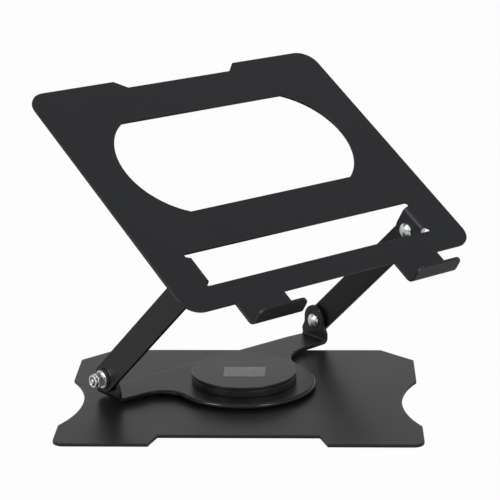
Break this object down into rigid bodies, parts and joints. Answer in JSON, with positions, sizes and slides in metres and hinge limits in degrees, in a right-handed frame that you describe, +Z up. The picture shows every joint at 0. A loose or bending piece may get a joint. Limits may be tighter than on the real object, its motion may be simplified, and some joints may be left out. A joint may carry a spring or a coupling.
{
  "type": "rotating laptop stand",
  "caption": "Black steel laptop stand with a tilting tray on two folding arms and a rotating base.",
  "frame": {"origin": "on the desk surface, where the swivel axis meets it, at the middle of the round pad under the hub", "axes": "+Z up along the swivel axis, +X to the right and +Y to the back of the base plate; the upper part is drawn turned by 41.6 degrees about +Z"},
  "size_m": [0.3144, 0.3076, 0.2306],
  "materials": {
    "tray_coat": "satin black powder coat",
    "arm_coat": "satin black powder coat",
    "swivel_coat": "satin black powder coat",
    "base_coat": "satin black powder coat",
    "hub_coat": "satin black",
    "bright_steel": "bright zinc plate",
    "nylon": "matt black",
    "insert_nylon": "matt dark grey",
    "rubber": "matt black",
    "foil": "satin foil"
  },
  "bodies": {
    "base": {"base_plate": "base_coat", "base_pads": "rubber", "centre_pad": "rubber", "lower_slide_ring": "nylon", "hub_spindle": "bright_steel", "upper_slide_ring": "nylon", "hub_cap": "hub_coat", "hub_label": "foil", "hub_screws": "bright_steel"},
    "swivel": {"swivel_plate": "swivel_coat", "lower_bolts": "bright_steel", "lower_friction_washers": "nylon", "lower_slip_washers": "nylon", "lower_washers": "bright_steel", "lower_nuts": "bright_steel", "lower_nut_inserts": "insert_nylon"},
    "arms": {"left_arm": "arm_coat", "right_arm": "arm_coat"},
    "tray": {"tray_plate": "tray_coat", "upper_bolts": "bright_steel", "upper_friction_washers": "nylon", "upper_slip_washers": "nylon", "upper_washers": "bright_steel", "upper_nuts": "bright_steel", "upper_nut_inserts": "insert_nylon"}
  },
  "joints": [
    {"name": "swivel_turn", "type": "hinge", "parent": "base", "child": "swivel", "pos_m": [0, 0, 0.0075], "axis": [0, 0, 1], "continuous": true},
    {"name": "arm_lift", "type": "hinge", "parent": "swivel", "child": "arms", "pos_m": [-0.02269, 0.03535, 0.0222], "axis": [0.7478, 0.6639, 0], "range_deg": [-32.5, 22.5]},
    {"name": "tray_tilt", "type": "hinge", "parent": "arms", "child": "tray", "pos_m": [0.04659, -0.04269, 0.1185], "axis": [0.7478, 0.6639, 0], "range_deg": [-45, 30]}
  ]
}
